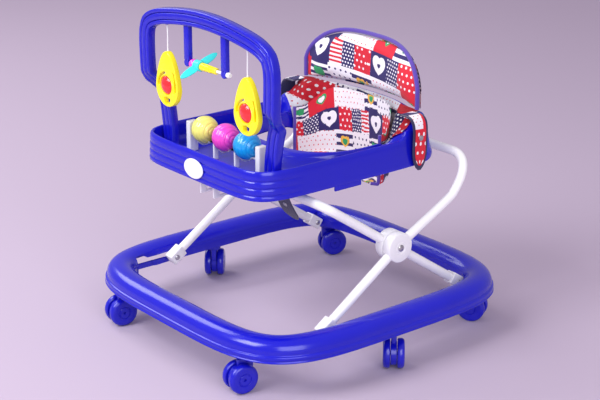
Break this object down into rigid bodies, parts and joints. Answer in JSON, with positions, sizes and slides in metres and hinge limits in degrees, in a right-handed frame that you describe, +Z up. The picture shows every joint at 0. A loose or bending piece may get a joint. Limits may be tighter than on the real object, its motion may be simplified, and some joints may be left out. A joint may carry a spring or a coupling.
{
  "type": "baby walker",
  "caption": "Wheeled baby walker: rounded-square base ring on swivel casters, crossed folding tube frame, play tray with toy arch and rattle balls, and a padded fabric seat.",
  "frame": {"origin": "on the floor at the middle of the base", "axes": "+Z up, the child faces -Y (the toy arch's end), +X to the child's left"},
  "size_m": [0.5848, 0.58, 0.584],
  "materials": {
    "blue_plastic": "glossy moulded, deep royal blue",
    "white_powder_coat": "smooth white powder coat",
    "white_plastic": "satin moulded white",
    "zinc_steel": "bright zinc plated",
    "yellow_plastic": "glossy moulded yellow",
    "red_plastic": "glossy moulded red",
    "white_cord": "fine twisted cord",
    "pink_plastic": "glossy, slightly translucent pink",
    "cyan_plastic": "glossy moulded cyan",
    "pale_yellow_plastic": "glossy, slightly translucent pale yellow",
    "sky_plastic": "glossy, slightly translucent sky blue",
    "printed_cotton": "printed patchwork cotton, matte",
    "navy_webbing": "woven navy webbing, matte"
  },
  "bodies": {
    "base": {"base_ring": "blue_plastic", "rear_screw_left": "zinc_steel", "rear_screw_right": "zinc_steel"},
    "caster_1": {"caster_body_1": "blue_plastic"},
    "wheels_1": {"caster_wheels_1": "blue_plastic"},
    "caster_2": {"caster_body_2": "blue_plastic"},
    "wheels_2": {"caster_wheels_2": "blue_plastic"},
    "caster_3": {"caster_body_3": "blue_plastic"},
    "wheels_3": {"caster_wheels_3": "blue_plastic"},
    "caster_4": {"caster_body_4": "blue_plastic"},
    "wheels_4": {"caster_wheels_4": "blue_plastic"},
    "caster_5": {"caster_body_5": "blue_plastic"},
    "wheels_5": {"caster_wheels_5": "blue_plastic"},
    "caster_6": {"caster_body_6": "blue_plastic"},
    "wheels_6": {"caster_wheels_6": "blue_plastic"},
    "inner_frame": {"inner_tube": "white_powder_coat", "inner_foot_left": "white_plastic", "inner_foot_right": "white_plastic", "inner_hub_left": "white_plastic", "inner_hub_right": "white_plastic", "hub_screw_left": "zinc_steel", "hub_screw_right": "zinc_steel"},
    "outer_frame": {"outer_tube": "white_powder_coat", "outer_foot_left": "white_plastic", "outer_foot_right": "white_plastic", "outer_hub_left": "white_plastic", "outer_hub_right": "white_plastic", "slide_pin_left": "zinc_steel", "slide_pin_right": "zinc_steel"},
    "play_tray": {"tray": "blue_plastic", "bar_clip_left": "white_plastic", "bar_clip_right": "white_plastic", "height_rack": "white_plastic", "tray_badge": "white_plastic", "toy_arch": "blue_plastic", "ball_rack": "white_plastic", "ball_rod": "zinc_steel", "backrest_panel": "white_plastic", "backrest_pad": "printed_cotton", "seat_sling": "printed_cotton", "side_strap_left": "printed_cotton", "side_strap_right": "printed_cotton", "side_snap_left": "zinc_steel", "side_snap_right": "zinc_steel", "crotch_strap": "navy_webbing", "crotch_snap": "zinc_steel"},
    "toy_plane": {"plane_spindle": "white_plastic", "plane_blades": "cyan_plastic", "plane_nose": "pink_plastic", "plane_tail": "yellow_plastic"},
    "pendant_left_swing": {"pendant_left": "yellow_plastic", "pendant_jewel_left": "red_plastic", "pendant_string_left": "white_cord"},
    "pendant_right_swing": {"pendant_right": "yellow_plastic", "pendant_jewel_right": "red_plastic", "pendant_string_right": "white_cord"},
    "rattle_yellow": {"ball_yellow": "pale_yellow_plastic"},
    "rattle_pink": {"ball_pink": "pink_plastic"},
    "rattle_blue": {"ball_blue": "sky_plastic"}
  },
  "joints": [
    {"name": "swivel_1", "type": "hinge", "parent": "base", "child": "caster_1", "pos_m": [0.176, -0.2495, 0.08], "axis": [0, 0, 1], "continuous": true},
    {"name": "roll_1", "type": "hinge", "parent": "caster_1", "child": "wheels_1", "pos_m": [0.17392, -0.26132, 0.0255], "axis": [0.9848, -0.1736, 0], "continuous": true},
    {"name": "swivel_2", "type": "hinge", "parent": "base", "child": "caster_2", "pos_m": [-0.176, -0.2495, 0.08], "axis": [0, 0, 1], "continuous": true},
    {"name": "roll_2", "type": "hinge", "parent": "caster_2", "child": "wheels_2", "pos_m": [-0.17808, -0.26132, 0.0255], "axis": [0.9848, -0.1736, 0], "continuous": true},
    {"name": "swivel_3", "type": "hinge", "parent": "base", "child": "caster_3", "pos_m": [0.2545, 0, 0.08], "axis": [0, 0, 1], "continuous": true},
    {"name": "roll_3", "type": "hinge", "parent": "caster_3", "child": "wheels_3", "pos_m": [0.26342, -0.00803, 0.0255], "axis": [0.6691, 0.7431, 0], "continuous": true},
    {"name": "swivel_4", "type": "hinge", "parent": "base", "child": "caster_4", "pos_m": [-0.2545, 0, 0.08], "axis": [0, 0, 1], "continuous": true},
    {"name": "roll_4", "type": "hinge", "parent": "caster_4", "child": "wheels_4", "pos_m": [-0.26342, 0.00803, 0.0255], "axis": [-0.6691, -0.7431, 0], "continuous": true},
    {"name": "swivel_5", "type": "hinge", "parent": "base", "child": "caster_5", "pos_m": [0.212, 0.244, 0.08], "axis": [0, 0, 1], "continuous": true},
    {"name": "roll_5", "type": "hinge", "parent": "caster_5", "child": "wheels_5", "pos_m": [0.20161, 0.238, 0.0255], "axis": [0.5, -0.866, 0], "continuous": true},
    {"name": "swivel_6", "type": "hinge", "parent": "base", "child": "caster_6", "pos_m": [-0.212, 0.244, 0.08], "axis": [0, 0, 1], "continuous": true},
    {"name": "roll_6", "type": "hinge", "parent": "caster_6", "child": "wheels_6", "pos_m": [-0.2079, 0.25528, 0.0255], "axis": [-0.9397, 0.342, 0], "continuous": true},
    {"name": "fold", "type": "hinge", "parent": "base", "child": "inner_frame", "pos_m": [0, 0.2, 0.082], "axis": [1, 0, 0], "range_deg": [0, 25]},
    {"name": "cross", "type": "hinge", "parent": "inner_frame", "child": "outer_frame", "pos_m": [0, 0.0405, 0.189], "axis": [1, 0, 0], "range_deg": [-50, 0]},
    {"name": "tray_level", "type": "hinge", "parent": "outer_frame", "child": "play_tray", "pos_m": [0, 0.202, 0.317], "axis": [1, 0, 0], "range_deg": [0, 25]},
    {"name": "plane_spin", "type": "hinge", "parent": "play_tray", "child": "toy_plane", "pos_m": [0, -0.19125, 0.492], "axis": [1, 0, 0], "continuous": true},
    {"name": "pendant_left_hinge", "type": "hinge", "parent": "play_tray", "child": "pendant_left_swing", "pos_m": [0.11, -0.19125, 0.5445], "axis": [1, 0, 0], "range_deg": [-35, 35]},
    {"name": "pendant_right_hinge", "type": "hinge", "parent": "play_tray", "child": "pendant_right_swing", "pos_m": [-0.11, -0.19125, 0.5445], "axis": [1, 0, 0], "range_deg": [-35, 35]},
    {"name": "rattle_yellow_spin", "type": "hinge", "parent": "play_tray", "child": "rattle_yellow", "pos_m": [-0.0585, -0.155, 0.3675], "axis": [1, 0, 0], "continuous": true},
    {"name": "rattle_pink_spin", "type": "hinge", "parent": "play_tray", "child": "rattle_pink", "pos_m": [0, -0.155, 0.3675], "axis": [1, 0, 0], "continuous": true},
    {"name": "rattle_blue_spin", "type": "hinge", "parent": "play_tray", "child": "rattle_blue", "pos_m": [0.0585, -0.155, 0.3675], "axis": [1, 0, 0], "continuous": true}
  ],
  "couplings": [
    {"joint": "cross", "follows": "fold", "ratio": -2},
    {"joint": "tray_level", "follows": "fold", "ratio": 1}
  ]
}
